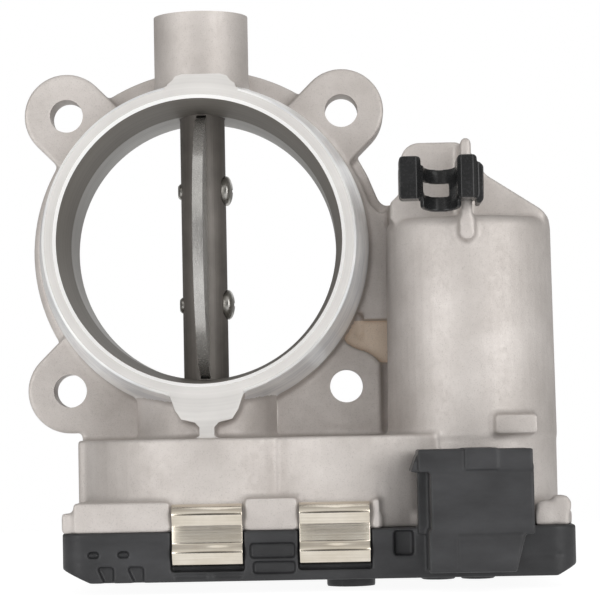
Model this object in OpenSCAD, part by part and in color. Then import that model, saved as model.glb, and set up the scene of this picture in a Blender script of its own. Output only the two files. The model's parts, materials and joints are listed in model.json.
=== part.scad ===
// Electronic throttle body with a normally open butterfly valve.
// X to the right, +Y downstream towards the engine, +Z up along the throttle shaft.
// The origin is where the bore axis meets the mounting face.

/* [Bore] */
// Radius of the bore at the throttle plate
bore_r = 33.5; // [32.5:0.1:34]
// Radius of the bore at the inlet mouth
mouth_r = 35; // [34.5:0.1:36]
// Length of the bore from the inlet face to the mounting face
bore_len = 46; // [44:0.5:50]
// Distance from the mounting face to the shaft axis
shaft_back = 18; // [16:0.5:19]

/* [Inlet collar] */
// Chamfer round the front of the collar
collar_edge = 0.7; // [0.3:0.1:1.2]
// Outer radius of the collar at its front face
collar_front_r = 38.4; // [37.5:0.1:39]
// Outer radius of the drafted collar at its root
collar_root_r = 41.9; // [41:0.1:43]
// Width of the locating tongues above and below the collar
tongue_w = 14.6; // [10:0.2:18]

/* [Mounting flange] */
// Spacing of the four bolt holes, both ways
bolt_gap = 71; // [69:0.5:73]
// Radius of a bolt hole
bolt_r = 4.25; // [3.3:0.05:4.5]
// Outer radius of a bolt ear
ear_r = 10.9; // [9:0.1:12]
// Thickness of the bolt ears
flange_t = 10; // [8:0.5:11]
// Height of the flat ear faces over the ears' thickness
ear_proud = 0.5; // [0.2:0.1:1]
// Radius of the round flange
flange_r = 45; // [44:0.1:46.5]
// Thickness of the round flange between the ears
disc_t = 6; // [5:0.5:8]
// Chamfer round the front edge of the flange
flange_edge = 1.4; // [0.5:0.1:2.5]
// Radius of the flange between the upper ears
crown_r = 47.4; // [45:0.1:48]

/* [Shaft and plate] */
// Diameter of the throttle shaft in the bore
shaft_d = 11.4; // [10:0.2:12]
// Thickness of the throttle plate
plate_t = 2.5; // [1.5:0.1:2.6]
// Height of the plate screws above and below the bore axis
screw_z = 14.5; // [10:0.5:18]
// Turn from fully open to closed, degrees
travel = 85; // [70:1:86]

/* [Gears] */
// Module of the motor stage
mod_fast = 0.8; // [0.8:0.1:0.8]
// Module of the throttle stage
mod_slow = 1; // [1:0.1:1]
// Teeth on the motor pinion
teeth_pinion = 14; // [14:1:14]
// Teeth on the large idler gear
teeth_large = 66; // [66:1:66]
// Teeth on the small idler gear
teeth_small = 16; // [16:1:16]
// Teeth on the full circle of the sector gear
teeth_sector = 54; // [54:1:54]

/* [Housing] */
// Height of the top of the shaft boss
boss_top = 59; // [57:0.5:61]
// Radius of the upper shaft boss
boss_r = 12; // [11.5:0.1:12.5]
// Radius of the lower shaft boss
low_boss_r = 17.7; // [17.6:0.1:18.5]
// Outer radius of the motor chamber
chamber_r = 21; // [20.8:0.1:21.5]
// Radius of the motor
motor_r = 18; // [17.5:0.1:18]
// Height of the top of the gear case
case_top = -48.3; // [-48.5:0.1:-48]
// Height of the joint between case and cover
split_z = -70.6; // [-71:0.1:-70]
// Wall thickness of the castings
wall = 3; // [2.5:0.1:3]

/* [Cover] */
// Lowest face of the cover
cover_low = -82.6; // [-84:0.1:-82]
// Wall thickness of the cover
cover_wall = 2.4; // [2:0.1:2.6]
// Width of a spring clip
clip_w = 16.9; // [14:0.1:17.5]

/* [Hidden] */
$fn = 96;
ys = -shaft_back;
front = -bore_len;
shaft_r = shaft_d / 2;
plate_r = bore_r - 0.2;
// Gear centres: shaft, idler and motor lie on one line
small_c = mod_slow * (teeth_small + teeth_sector) / 2;
large_c = mod_fast * (teeth_pinion + teeth_large) / 2;
line_a = -3.4;
idler_x = small_c * cos(line_a);
idler_y = ys + small_c * sin(line_a);
motor_x = (small_c + large_c) * cos(line_a);
motor_y = ys + (small_c + large_c) * sin(line_a);
// Tongues and rib: their middle line, and half the rib's thickness
tongue_x = 1.2;
rib_t = 1.8;
// Plates behind the ears: right edge and rear face; top of the step beside the lower right ear
plate_right = 44.5;
web_back = -1.5;
step_top = -18.7;
// Gear case outline, outside
sector_room = 32.8;
idler_room = 30.4;
lip_front = -52;
lip_rear = 15.8;
lip_top = -64.6;
ceiling = case_top - 3.7;
// Gear planes, lower and upper face of each gear
sector_z = [-61, -55];
small_z = [-62, -54];
large_z = [-72, -67.4];
pinion_z = [-72.6, -66.8];
hub_low = -66;
shaft_low = -65.6;
insert_r = 4.5;
head_seat = 4.6;
// Last tooth of the sector, counted from the one in mesh at rest
sector_teeth = 14;
// Stop posts, from the line of the gears
stop_open_a = 102.9;
stop_shut_a = -16.2 - travel;
// Bearings
ball_out_r = 11;
ball_in_r = 5;
ball_z = [-51.6, -45.6];
ball_pitch_r = 8;
ball_r = 1.75;
ball_count = 9;
needle_z = [42, 52];
needle_shell_r = 7;
needle_r = 1.2;
journal_r = 5;
needle_pitch_r = journal_r + 0.03 + needle_r;
needle_count = 12;
// Seals
seal_r = 8.4;
low_seal_z = [-41.4, -37];
top_seal_z = [37, 41.4];
// Return spring pocket round the lower bearing tube
tube_r = 12.5;
pocket_r = 16;
pocket_top = -41;
spring_r = 14.3;
spring_wire = 1.2;
spring_turns = 6;
spring_a = 40;
spring_bend = 1.2;
spring_tail_a = 4.8;
// Motor
motor_z = [-53, 1.4];
can_t = 1.6;
magnet_t = 3.2;
core_r = 12.6;
bush_r = 4;
motor_shaft_r = 1.6;
motor_screw_a = [140, 215];
motor_screw_r = 19.5;
cover_front = lip_front - 1.6;
cover_rear = lip_rear + 0.8;
// Spring clips: centres along X, front pair and rear pair
clips_front = [1.2, 31.8];
clips_rear = [4, 62];
hook_z = -78.2;
roll_top = -67.2;
roll_gap = 8.2;
clip_t = 0.6;
// Connector
plug_x = [54.4, 78.7];
plug_y = [-68, -47.5];
plug_top = -51.8;
plug_low = -80.8;
pin_count = 6;
// Wire clip and its fin
fin_x = 65.5;
fin_t = 2.6;
fin_front = -47.4;
fin_top = 22.4;
fin_foot = 0.7;
fin_foot_r = 2;
hold_x = 59;
hold_y = -50.8;
hold_r = 4;
hold_t = 1;
hold_z = 11.6;
hold_tilt = 11;

// ---- helpers ----

// Points along an arc in the plane
function arc(cx, cy, r, a0, a1, n) = [for (i = [0 : n]) let (a = a0 + (a1 - a0) * i / n)
    [cx + r * cos(a), cy + r * sin(a)]];

// Rounded rectangle from corner to corner
function round_rect(x0, y0, x1, y1, r) = concat(
    arc(x1 - r, y1 - r, r, 0, 90, 8), arc(x0 + r, y1 - r, r, 90, 180, 8),
    arc(x0 + r, y0 + r, r, 180, 270, 8), arc(x1 - r, y0 + r, r, 270, 360, 8));

// Involute angle in degrees at radius r for base radius rb
function inv_angle(r, rb) = r <= rb ? 0 : let (a = acos(rb / r)) tan(a) * 180 / PI - a;

// Half the angle of a tooth at radius r; slack thins each flank, in millimetres
function half_tooth(teeth, m, r, slack) = 90 / teeth - slack / (teeth * m / 2) * 180 / PI
    + inv_angle(teeth * m / 2, teeth * m / 2 * cos(20)) - inv_angle(r, teeth * m / 2 * cos(20));

// One tooth's outline from root to root, centred at angle a
function tooth(teeth, m, a, add, ded, slack, steps) = let (r = teeth * m / 2, r0 = r - ded * m,
    r1 = r + add * m) concat(
    [for (i = [0 : steps]) let (q = r0 + (r1 - r0) * i / steps, h = half_tooth(teeth, m, q, slack))
        [q * cos(a - h), q * sin(a - h)]],
    [for (i = [0 : steps]) let (q = r1 + (r0 - r1) * i / steps, h = half_tooth(teeth, m, q, slack))
        [q * cos(a + h), q * sin(a + h)]]);

// Outline of a whole gear with its first tooth at angle a0
function gear_points(teeth, m, a0, add = 0.85, ded = 1.2, slack = 0.07) = [for (k = [0 : teeth - 1])
    each tooth(teeth, m, a0 + 360 * k / teeth, add, ded, slack, 5)];

module gear(teeth, m, a0, z) {
    translate([0, 0, z[0]]) linear_extrude(z[1] - z[0]) polygon(gear_points(teeth, m, a0));
}

// Cylinder between two heights
module rod(r, z) {
    translate([0, 0, z[0]]) cylinder(r = r, h = z[1] - z[0]);
}

// Tube between two heights
module tube(r_out, r_in, z) {
    difference() {
        rod(r_out, z);
        rod(r_in, [z[0] - 1, z[1] + 1]);
    }
}

// Box from corner to corner
module block(p, q) {
    translate(p) cube(q - p);
}

// Turned body about the bore axis: points are [radius, y]
module turned(points) {
    rotate([-90, 0, 0]) rotate_extrude() polygon(points);
}

// Cylinder along Y
module rod_y(x, z, r, y0, y1) {
    translate([x, y0, z]) rotate([-90, 0, 0]) cylinder(r = r, h = y1 - y0);
}

// Cylinder along X
module rod_x(y, z, r, x0, x1) {
    translate([x0, y, z]) rotate([0, 90, 0]) cylinder(r = r, h = x1 - x0);
}

// Plate standing in the XZ plane: points are [x, z]
module plate_xz(points, y0, y1) {
    translate([0, y1, 0]) rotate([90, 0, 0]) linear_extrude(y1 - y0) polygon(points);
}

// Bar along X with an outline of [y, z] points
module bar_x(points, x0, x1) {
    translate([x0, 0, 0]) rotate([90, 0, 90]) linear_extrude(x1 - x0) polygon(points);
}

module at_shaft() {
    translate([0, ys, 0]) children();
}

module at_idler() {
    translate([idler_x, idler_y, 0]) children();
}

module at_motor() {
    translate([motor_x, motor_y, 0]) children();
}

// ---- cast housing ----

// Plan of the gear case, inset by d: arcs round the sector, the idler and the motor, with
// notches between them in front and tangents behind
function case_outline(d) = let (r = [sector_room - d, idler_room - d, chamber_r - d],
    c = [[0, ys], [idler_x, idler_y], [motor_x, motor_y]],
    rear = [for (i = [0, 1]) 90 + line_a - asin((r[i] - r[i + 1]) / norm(c[i + 1] - c[i]))],
    notch = [for (i = [0, 1]) front_meet(c[i], r[i], c[i + 1], r[i + 1])]) concat(
    arc(c[0][0], c[0][1], r[0], rear[0], angle_of(notch[0] - c[0]), 36),
    arc(c[1][0], c[1][1], r[1], angle_of(notch[0] - c[1]), angle_of(notch[1] - c[1]), 14),
    arc(c[2][0], c[2][1], r[2], angle_of(notch[1] - c[2]), 360 + rear[1], 30),
    arc(c[1][0], c[1][1], r[1], rear[1], rear[0], 3));

// Where two circles cross on their front side
function front_meet(c0, r0, c1, r1) = let (d = norm(c1 - c0), u = (c1 - c0) / d,
    a = (d * d + r0 * r0 - r1 * r1) / (2 * d)) c0 + a * u + sqrt(r0 * r0 - a * a) * [u[1], -u[0]];

// Direction of a vector, 0 to 360 degrees
function angle_of(v) = let (a = atan2(v[1], v[0])) a < 0 ? a + 360 : a;

module case_plan(d) {
    polygon(case_outline(d));
}

// Plan of the joint flange between case and cover, inset by d
module joint_plan(d) {
    difference() {
        polygon(round_rect(-34.2 + d, lip_front - 0.2 + d, 89.2 - d, lip_rear + 0.2 - d, 6 - d / 2));
        polygon([[43.4, -60], [80, -60], [80, -46.4], [43.4, -46.4]]);
    }
}

module bore_cut() {
    turned([[0, front - 1], [mouth_r + 1.8, front - 1], [mouth_r, front + 0.8], [bore_r, ys - 4],
        [bore_r, -0.6], [bore_r + 1.6, 1], [0, 1]]);
}

module collar() {
    turned([[0, front], [collar_front_r - collar_edge, front], [collar_front_r, front + collar_edge],
        [collar_root_r, -20], [collar_root_r, -disc_t], [flange_r - flange_edge, -disc_t],
        [flange_r, -disc_t + flange_edge], [flange_r, 0], [0, 0]]);
    intersection() {
        rod_y(0, 0, crown_r, -disc_t, 0);
        block([-30, -disc_t - 1, 30], [30, 1, 60]);
    }
}

module ears() {
    reach = bolt_gap / 2 * sqrt(2);
    for (a = [45, 135, 225, 315]) rotate([0, a, 0]) {
        block([0, -flange_t - ear_proud, -ear_r], [reach, 0, ear_r]);
        rod_y(reach, 0, ear_r, -flange_t - ear_proud, 0);
    }
}

module bolt_holes() {
    for (x = [-1, 1], z = [-1, 1]) rod_y(x * bolt_gap / 2, z * bolt_gap / 2, bolt_r,
        -flange_t - 2, 1);
}

// Locating tongue on the collar; each step is [past half the width, height]
module tongue(steps) {
    w = tongue_w / 2;
    outline = concat([for (p = steps) [-w - p[0], p[1]]],
        [for (i = [len(steps) - 1 : -1 : 0]) [w + steps[i][0], steps[i][1]]]);
    translate([tongue_x, 0, 0]) plate_xz(outline, front, -24);
}

module tongues() {
    tongue([[1.3, 37], [0.9, 38.4], [-0.2, 39.2], [-1, 40.3], [-2.7, 40.8]]);
    mirror([0, 0, 1]) tongue([[1.9, 37], [0.4, 41.3], [-1.1, 43.6], [-4.4, 44.4], [-5.5, 45.6]]);
}

module shaft_bosses() {
    at_shaft() rod(boss_r, [20, boss_top]);
    at_shaft() rod(low_boss_r, [case_top - 1, -20]);
}

// Plates that tie the flange to the gear case and to the motor chamber, and the rib below the collar
module webs() {
    face = -flange_t - ear_proud + 0.1;
    block([-32.6, face, case_top - 1], [plate_right, web_back, -24]);
    block([tongue_x - rib_t, front, case_top - 1], [tongue_x + rib_t, -24, -34]);
    block([40, face, step_top - 1], [56, web_back, 8.6]);
    block([40, -disc_t, -32], [60, web_back, 9]);
    block([40, face + 0.1, case_top - 1], [60, web_back, -29.7]);
    plate_xz([[30, 0], [30, 24], [36.5, 24], [38, 20.8], [40.5, 16.3], [42.5, 11.1], [44.5, 9], [46.1, 8.7],
        [48.1, 10], [56, 10], [56, 0]], face, web_back);
    plate_xz([[30, 0], [30, 24.2], [38.9, 24.2], [40.1, 22.6], [42.1, 18.9], [43.6, 15.2], [44.9, 12.1],
        [46.3, 11], [48, 11.2], [50, 12.6], [52, 13.4], [56, 13.4], [56, 0]], -disc_t, web_back);
}

// Step beside the lower right ear, outside the collar, and the shallow groove below it
module flange_step() {
    difference() {
        plate_xz([[33, step_top], [35.3, -24], [36.6, -25.1], [38.6, -26.1], [40.7, -26.7], [42.7, -28],
            [plate_right, -29.8], [61, -29.8], [61, step_top]], -flange_t - 2, -disc_t);
        rod_y(0, 0, collar_root_r, -flange_t - 3, 0);
    }
    block([plate_right, -flange_t - 2, case_top - 2], [61, 1.6 - flange_t, -29.7]);
}

// Shoulder behind the motor chamber with the clip's lug and its slope
module shoulder() {
    intersection() {
        plate_xz(concat([[60, -20], [56, -4], [47, 5.6], [47.2, 9.6], [49.4, 11.6], [50, 13.5]],
            arc(54.6, 19.9, 4.6, 175, 95, 6), [[64, 24.5], [66.8, 23.2], [71.2, 16.2], [84.4, 7.6],
            [86.8, 5.4], [87.8, 2], [87.8, -20]]), -31, motor_y + chamber_r - 0.6);
        translate([0, 0, -20]) linear_extrude(50) union() {
            translate([motor_x, motor_y]) circle(chamber_r - 0.3);
            polygon([[46, -32], [motor_x, -32], [motor_x, 0], [46, 0]]);
        }
    }
}

// Motor chamber as a drafted cylinder with a rounded top edge
module chamber_shell() {
    top = 5.3;
    round_r = 2.6;
    at_motor() rotate_extrude() polygon(concat([[0, case_top - 1], [chamber_r + 0.2, case_top - 1]],
        arc(chamber_r - 0.3 - round_r, top - round_r, round_r, 0, 90, 6), [[0, top]]));
}

module chamber() {
    chamber_shell();
    shoulder();
    block([fin_x - fin_t / 2, fin_front, fin_foot], [fin_x + fin_t / 2, -28, fin_top]);
    rod_y(fin_x, fin_top, fin_t / 2, fin_front, -28);
    block([fin_x - fin_foot_r, fin_front + 0.3, fin_foot], [fin_x + fin_foot_r, -28, 4.4]);
    rod_y(fin_x, fin_foot, fin_foot_r, fin_front + 0.3, -28);
    block([71.4, -44.6, case_top - 0.4], [81.6, -30, -43.7]);
}

// Lip that the spring clips hook over, with pads beside the clips
module case_lip() {
    translate([0, 0, split_z]) linear_extrude(-67.4 - split_z) joint_plan(0);
    block([-30.3, lip_front, split_z], [42.8, -34, lip_top]);
    block([-31, lip_front - 1, split_z], [-7.9, -34, -63.4]);
    block([10.4, lip_front - 1, split_z], [22.9, -34, -62.9]);
    block([40.9, lip_front - 1, split_z], [42.8, -34, -63.4]);
    block([-33.9, lip_front, split_z], [-29.8, lip_front + 5, -65.8]);
    plate_xz([[80.2, split_z], [80.2, -65.4], [82, -64.6], [88.2, -65.4], [88.2, split_z]], lip_front, -28);
    plate_xz([[84.2, -67], [84.2, -64], [85.4, -63.4], [87.6, -63.6], [88.7, -65], [88.7, -67]],
        lip_front, lip_front + 4);
    block([-18, 6, split_z], [78, lip_rear, lip_top]);
}

// Gear case with a bead down its front left
module gear_case() {
    translate([0, 0, split_z]) linear_extrude(case_top - split_z) case_plan(0);
    translate([-30.2, -30, 0]) rod(1.6, [-65, case_top - 0.3]);
    case_lip();
}

// Space for the gears, open downwards
module case_cavity() {
    translate([0, 0, split_z - 1]) linear_extrude(ceiling - split_z + 1) case_plan(wall);
}

// Stop posts, spring tube and bearing seats inside the case
module inside_posts() {
    at_shaft() rod(tube_r, [ball_z[0] - 1.8, ceiling + 1]);
    at_idler() rod(4.6, [-53.6, ceiling + 1]);
    at_shaft() for (a = [stop_open_a, stop_shut_a]) rotate([0, 0, line_a + a])
        block([17, -2, -60.6], [24, 2, ceiling + 1]);
    at_motor() for (a = motor_screw_a) rotate([0, 0, a]) translate([motor_screw_r, 0, 0])
        rod(3.4, [motor_z[0], ceiling + 1]);
}

module shaft_bores() {
    at_shaft() {
        rod(shaft_r + 0.2, [low_seal_z[0], top_seal_z[0] + 1]);
        rod(seal_r, [top_seal_z[0], boss_top + 1]);
        rod(seal_r, [ball_z[1] - 1, low_seal_z[1]]);
        rod(ball_out_r, [ball_z[0] - 3, ball_z[1]]);
        tube(pocket_r, tube_r, [ceiling - 1, pocket_top]);
        rotate([0, 0, spring_a - spring_tail_a]) translate([spring_r, 0, 0])
            rod(0.9, [pocket_top - 1, pocket_top + 3]);
    }
    at_idler() rod(2.5, [-55, -49.6]);
    at_motor() for (a = motor_screw_a) rotate([0, 0, a]) translate([motor_screw_r, 0, 0])
        rod(1.5, [motor_z[0] - 1, motor_z[0] + 4]);
}

module housing() {
    color("#c9c3bd") difference() {
        union() {
            difference() {
                union() {
                    difference() {
                        union() {
                            collar();
                            ears();
                            webs();
                        }
                        flange_step();
                    }
                    tongues();
                    shaft_bosses();
                    chamber();
                    gear_case();
                }
                case_cavity();
            }
            inside_posts();
        }
        bore_cut();
        bolt_holes();
        shaft_bores();
        at_motor() rod(motor_r + 0.2, [split_z - 1, motor_z[1] + 1]);
    }
}

// ---- shaft, plate and bearings ----

module shaft_end_plug() {
    color("#8f8f8c") at_shaft() difference() {
        rod(seal_r, [54.4, 57.4]);
        rod(seal_r - 1.4, [55.6, 58]);
    }
}

module needle_bearing_shell() {
    color("#a8a8a8") at_shaft() {
        tube(seal_r, needle_pitch_r + needle_r + 0.05, needle_z);
        tube(seal_r, journal_r + 0.5, [needle_z[0] - 0.6, needle_z[0]]);
        tube(seal_r, journal_r + 0.5, [needle_z[1], needle_z[1] + 0.6]);
    }
}

module bearing_needles() {
    color("#d0d0d0") at_shaft() for (k = [0 : needle_count - 1]) rotate([0, 0, 360 * k / needle_count])
        translate([needle_pitch_r, 0, 0]) rod(needle_r, [needle_z[0] + 0.2, needle_z[1] - 0.2]);
}

// Lip seal between two heights
module shaft_seal(z) {
    at_shaft() {
        tube(seal_r, shaft_r + 1.4, z);
        tube(shaft_r + 1.5, shaft_r + 0.05, [z[0] + 0.8, z[0] + 2]);
    }
}

module upper_shaft_seal() {
    color("#2a2a2a") shaft_seal(top_seal_z);
}

module lower_shaft_seal() {
    color("#2a2a2a") shaft_seal(low_seal_z);
}

// Section of a groove for the balls, cut from a race
module ball_groove() {
    translate([0, 0, (ball_z[0] + ball_z[1]) / 2]) rotate_extrude() translate([ball_pitch_r, 0])
        circle(r = ball_r + 0.04);
}

module ball_bearing_outer_race() {
    color("#b8b8b8") at_shaft() difference() {
        tube(ball_out_r, ball_pitch_r + 1.1, ball_z);
        ball_groove();
    }
}

module ball_bearing_inner_race() {
    color("#b8b8b8") at_shaft() difference() {
        tube(ball_pitch_r - 1.1, ball_in_r, ball_z);
        ball_groove();
    }
}

module bearing_balls() {
    mid = (ball_z[0] + ball_z[1]) / 2;
    color("#d8d8d8") at_shaft() {
        for (k = [0 : ball_count - 1]) rotate([0, 0, 360 * k / ball_count])
            translate([ball_pitch_r, 0, mid]) sphere(r = ball_r);
        difference() {
            tube(ball_pitch_r + 0.8, ball_pitch_r - 0.8, [mid - 0.9, mid + 0.9]);
            for (k = [0 : ball_count - 1]) rotate([0, 0, 360 * k / ball_count])
                translate([ball_pitch_r, 0, mid]) sphere(r = ball_r + 0.03);
        }
    }
}

module throttle_shaft() {
    color("#6e6a66") at_shaft() difference() {
        union() {
            rod(shaft_r, [low_seal_z[0] - 0.6, top_seal_z[1]]);
            rod(journal_r, [top_seal_z[1], 53.4]);
            rod(ball_in_r, [ball_z[0], low_seal_z[0] - 0.6]);
            rod(insert_r, [shaft_low, ball_z[0]]);
        }
        block([-plate_t / 2, -20, -plate_r - 0.05], [plate_t / 2, 20, plate_r + 0.05]);
        for (s = [-1, 1]) {
            rod_x(0, s * screw_z, 4, head_seat, 9);
            rod_x(0, s * screw_z, 2, -9, 9);
        }
    }
}

module throttle_plate() {
    color("#cfcdc6") at_shaft() difference() {
        rod_x(0, 0, plate_r, -plate_t / 2, plate_t / 2);
        for (s = [-1, 1]) rod_x(0, s * screw_z, 2, -3, 3);
    }
}

// Pan-head screw along -X with a cross recess
module plate_screw() {
    difference() {
        union() {
            rod_x(0, 0, 2, -shaft_r - 0.7, head_seat);
            rod_x(0, 0, 3.8, head_seat, head_seat + 2.2);
            rod_x(0, 0, 3.1, head_seat + 2.2, head_seat + 2.9);
        }
        block([head_seat + 1.2, -1.9, -0.45], [head_seat + 4, 1.9, 0.45]);
        block([head_seat + 1.2, -0.45, -1.9], [head_seat + 4, 0.45, 1.9]);
    }
}

module plate_screws() {
    color("#9a968f") at_shaft() for (s = [-1, 1]) translate([0, 0, s * screw_z]) plate_screw();
}

// ---- gears ----

// Outline of the sector: teeth from the mesh line back to the travel, and two straight edges
function sector_points() = concat([[0, 0]], [for (k = [-1 : sector_teeth]) each tooth(teeth_sector,
    mod_slow, line_a + 360 * k / teeth_sector, 0.85, 1.2, 0.07, 5)]);

module sector_gear() {
    color("#e6e0cf") at_shaft() difference() {
        union() {
            translate([0, 0, sector_z[0]]) linear_extrude(sector_z[1] - sector_z[0])
                polygon(sector_points());
            rod(9, [hub_low, sector_z[1]]);
        }
        rod(insert_r, [hub_low - 1, sector_z[1] + 1]);
        rotate([0, 0, spring_a + spring_tail_a]) translate([spring_r, 0, 0])
            rod(0.9, [sector_z[0] - 1, sector_z[1] + 1]);
        for (a = [20, 45, 70]) rotate([0, 0, line_a + a]) translate([18, 0, 0]) rod(3.4, [-62, -57]);
    }
}

module sector_insert() {
    color("#8c8c8c") at_shaft() tube(9, insert_r, [sector_z[1], sector_z[1] + 1.2]);
}

module sensor_magnet() {
    color("#4a4a4d") at_shaft() tube(6.6, 4.2, [-73.4, hub_low]);
}

// Helix of the return spring: point, tangent and radial direction at each step
spring_top = pocket_top - 1.2;
spring_pitch = 1.75;
function spring_angle(t) = spring_a + t * 360 * spring_turns;
function spring_at(t) = [spring_r * cos(spring_angle(t)), spring_r * sin(spring_angle(t)),
    spring_top - spring_pitch * spring_turns * t];
function spring_along(t) = [-sin(spring_angle(t)), cos(spring_angle(t)), 0];
function spring_ring(p, along, a) = let (n = [cos(a), sin(a), 0], b = cross(along, n))
    [for (k = [0 : 7]) p + spring_wire / 2 * (cos(45 * k) * n + sin(45 * k) * b)];
function spring_tail(t, s, bend) = let (along = s * spring_along(t)) [for (k = [0 : 3]) let (b = 30 * k)
    spring_ring(spring_at(t) + bend * (sin(b) * along - s * [0, 0, 1 - cos(b)]),
        s * (cos(b) * along - s * sin(b) * [0, 0, 1]), spring_angle(t))];
function spring_rings() = let (steps = spring_turns * 24) concat(
    [let (c = spring_tail(0, -1, spring_bend)[3]) [for (q = c) q + [0, 0, 1.6]]],
    [for (k = [3 : -1 : 1]) spring_tail(0, -1, spring_bend)[k]],
    [for (i = [0 : steps]) spring_ring(spring_at(i / steps), spring_along(i / steps),
        spring_angle(i / steps))],
    [for (k = [1 : 3]) spring_tail(1, 1, spring_bend)[k]],
    [let (c = spring_tail(1, 1, spring_bend)[3]) [for (q = c) q - [0, 0, 3]]]);

module return_spring() {
    rings = spring_rings();
    last = len(rings) - 1;
    color("#77777a") at_shaft() polyhedron(points = [for (r = rings) each r],
        faces = concat([[for (k = [0 : 7]) k]], [[for (k = [7 : -1 : 0]) last * 8 + k]],
            [for (i = [0 : last - 1], k = [0 : 7])
                [i * 8 + k, (i + 1) * 8 + k, (i + 1) * 8 + (k + 1) % 8, i * 8 + (k + 1) % 8]]));
}

module spring_bush() {
    color("#e8e4da") at_shaft() tube(13.4, tube_r, [-52.8, -42]);
}

module idler_gear() {
    color("#ece7d8") at_idler() difference() {
        union() {
            gear(teeth_small, mod_slow, line_a + 180 + 180 / teeth_small, small_z);
            gear(teeth_large, mod_fast, line_a + 180 / teeth_large, large_z);
            rod(6.2, [large_z[1] - 1, small_z[0] + 1]);
        }
        rod(2.53, [large_z[0] - 1, small_z[1] + 1]);
        tube(22.5, 9, [large_z[0] - 1, large_z[0] + 1.4]);
    }
}

module idler_pin() {
    color("#b4b4b4") at_idler() rod(2.5, [-79, -49.6]);
}

module motor_pinion() {
    color("#b59a5a") at_motor() difference() {
        gear(teeth_pinion, mod_fast, line_a + 180, pinion_z);
        rod(motor_shaft_r, [pinion_z[0] - 1, pinion_z[1] + 1]);
    }
}

// ---- motor ----

module motor_shaft() {
    color("#b4b4b4") at_motor() rod(motor_shaft_r, [-73.4, -1]);
}

module armature_core() {
    color("#5c5c60") at_motor() difference() {
        rod(core_r, [-40, -13]);
        rod(motor_shaft_r, [-41, -12]);
        for (k = [0 : 9]) rotate([0, 0, 36 * k]) {
            block([7.4, -1.7, -41], [11.2, 1.7, -12]);
            block([11, -0.7, -41], [14, 0.7, -12]);
        }
    }
}

module armature_windings() {
    color("#a85f32") at_motor() {
        tube(11, 4, [-13, -8.4]);
        tube(11, 4, [-44.4, -40]);
        for (k = [0 : 9]) rotate([0, 0, 36 * k]) block([7.6, -1.5, -40.5], [10.9, 1.5, -12.5]);
    }
}

module commutator() {
    color("#b8733a") at_motor() difference() {
        rod(5, [-52, -45]);
        rod(motor_shaft_r, [-53, -44]);
        for (k = [0 : 9]) rotate([0, 0, 36 * k]) block([4.2, -0.25, -53], [6, 0.25, -46]);
    }
}

module motor_can() {
    color("#c2c2c0") at_motor() {
        tube(motor_r, motor_r - can_t, [motor_z[0], motor_z[1] - can_t]);
        difference() {
            rod(motor_r, [motor_z[1] - can_t, motor_z[1]]);
            rod(2, [motor_z[1] - can_t - 1, motor_z[1] + 1]);
        }
        tube(6, bush_r, [motor_z[1] - can_t - 5, motor_z[1] - can_t]);
    }
}

module motor_magnets() {
    color("#3c3c40") at_motor() for (s = [0, 180]) rotate([0, 0, s]) intersection() {
        tube(motor_r - can_t, motor_r - can_t - magnet_t, [-43, -10]);
        translate([0, 0, -44]) linear_extrude(36) polygon([[0, 0], [12, -26], [40, -26], [40, 26],
            [12, 26]]);
    }
}

module motor_end_plate() {
    color("#b9b9b6") at_motor() difference() {
        union() {
            rod(motor_r, [motor_z[0] - 1.4, motor_z[0]]);
            for (a = motor_screw_a) rotate([0, 0, a]) translate([motor_screw_r, 0, 0])
                rod(3.3, [motor_z[0] - 1.4, motor_z[0]]);
            rod(bush_r + 1.2, [motor_z[0] - 4.4, motor_z[0]]);
        }
        rod(bush_r, [motor_z[0] - 5, motor_z[0] + 1]);
        for (a = motor_screw_a) rotate([0, 0, a]) translate([motor_screw_r, 0, 0])
            rod(1.5, [motor_z[0] - 2, motor_z[0] + 1]);
        for (s = [-1, 1]) block([-1.4, s * 12 - 0.9, -56], [1.4, s * 12 + 0.9, -52]);
    }
}

module brush_holder() {
    color("#3a3530") at_motor() difference() {
        union() {
            rod(motor_r - can_t, [-53, -51.6]);
            for (s = [-1, 1]) block([s * 9.4 - 3.4, -3.2, -52], [s * 9.4 + 3.4, 3.2, -46.4]);
        }
        rod(5.6, [-54, -45]);
        for (s = [-1, 1]) {
            block([s * 10 - 5, -2, -50.6], [s * 10 + 5, 2, -47.6]);
            block([-1.4, s * 12 - 0.9, -56], [1.4, s * 12 + 0.9, -51]);
        }
    }
}

module motor_brushes() {
    color("#3b3b3b") at_motor() for (s = [-1, 1])
        block([s * 8.6 - 3.4, -2, -50.6], [s * 8.6 + 3.4, 2, -47.6]);
}

module motor_rear_bush() {
    color("#b08d4c") at_motor()
        tube(bush_r, motor_shaft_r + 0.03, [motor_z[1] - can_t - 5, motor_z[1] - can_t]);
}

module motor_front_bush() {
    color("#b08d4c") at_motor() tube(bush_r, motor_shaft_r + 0.03, [motor_z[0] - 4.4, motor_z[0]]);
}

module motor_wave_spring() {
    color("#a0a0a0") at_motor() {
        tube(13, 9, [motor_z[1] + 0.3, motor_z[1] + 0.7]);
        for (a = [0, 120, 240]) rotate([0, 0, a]) translate([11, 0, 0])
            rod(1.4, [motor_z[1], motor_z[1] + 0.3]);
        for (a = [60, 180, 300]) rotate([0, 0, a]) translate([11, 0, 0])
            rod(1.4, [motor_z[1] + 0.7, motor_z[1] + 1]);
    }
}

module motor_screws() {
    color("#8f8a80") at_motor() for (a = motor_screw_a) rotate([0, 0, a]) translate([motor_screw_r, 0, 0])
        difference() {
            union() {
                rod(1.5, [motor_z[0] - 1.4, motor_z[0] + 3.8]);
                rod(2.9, [motor_z[0] - 3.4, motor_z[0] - 1.4]);
            }
            translate([0, 0, motor_z[0] - 4]) cylinder(r = 1.4, h = 1.6, $fn = 6);
        }
}

// ---- cover and electrics ----

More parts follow.
